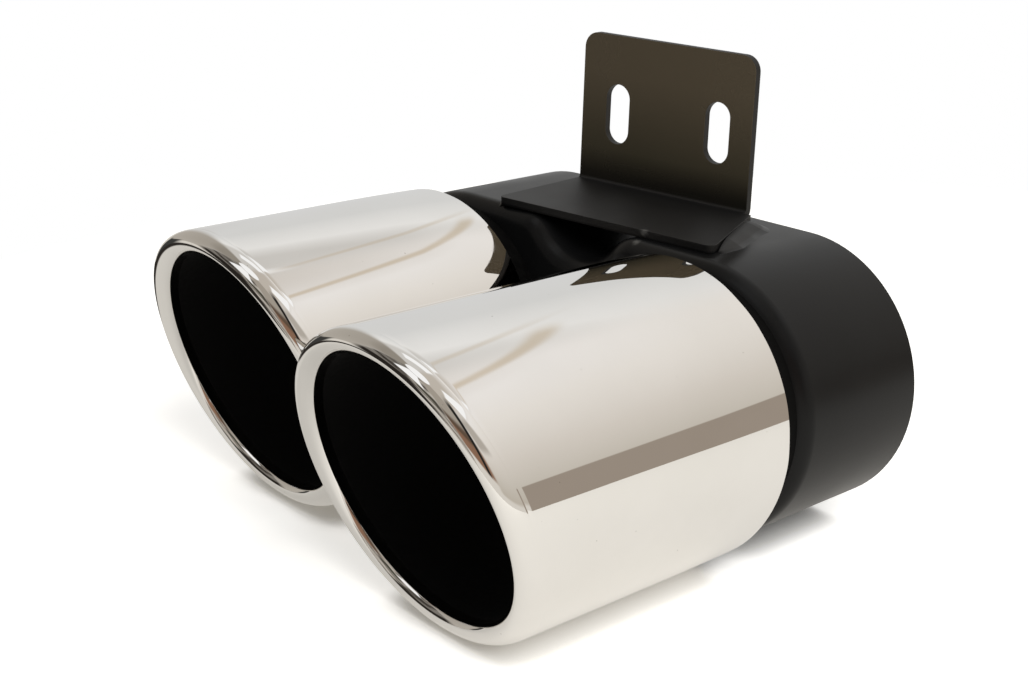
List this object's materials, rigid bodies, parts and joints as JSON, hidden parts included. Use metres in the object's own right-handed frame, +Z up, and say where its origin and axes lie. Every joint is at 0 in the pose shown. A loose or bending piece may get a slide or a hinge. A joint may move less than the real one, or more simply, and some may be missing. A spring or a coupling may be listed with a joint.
{
  "type": "exhaust tip",
  "caption": "Exhaust tip with staggered slash-cut polished sleeves side by side, a black shell behind them and a slotted bracket that bolts it under a bumper.",
  "frame": {"origin": "on the floor that the sleeves rest on, under the middle of the whole part", "axes": "+Z up, +X across the pair towards the longer tip, -Y out of the outlets along the tips' axes"},
  "size_m": [0.1888, 0.1773, 0.1378],
  "materials": {
    "polished_steel": "mirror polish",
    "pipe_black": "matt",
    "black_enamel": "satin"
  },
  "bodies": {
    "root": {"long_tip": "polished_steel", "short_tip": "polished_steel", "long_pipe": "pipe_black", "short_pipe": "pipe_black", "shell": "black_enamel", "bracket": "black_enamel", "bracket_welds": "black_enamel"}
  },
  "joints": []
}
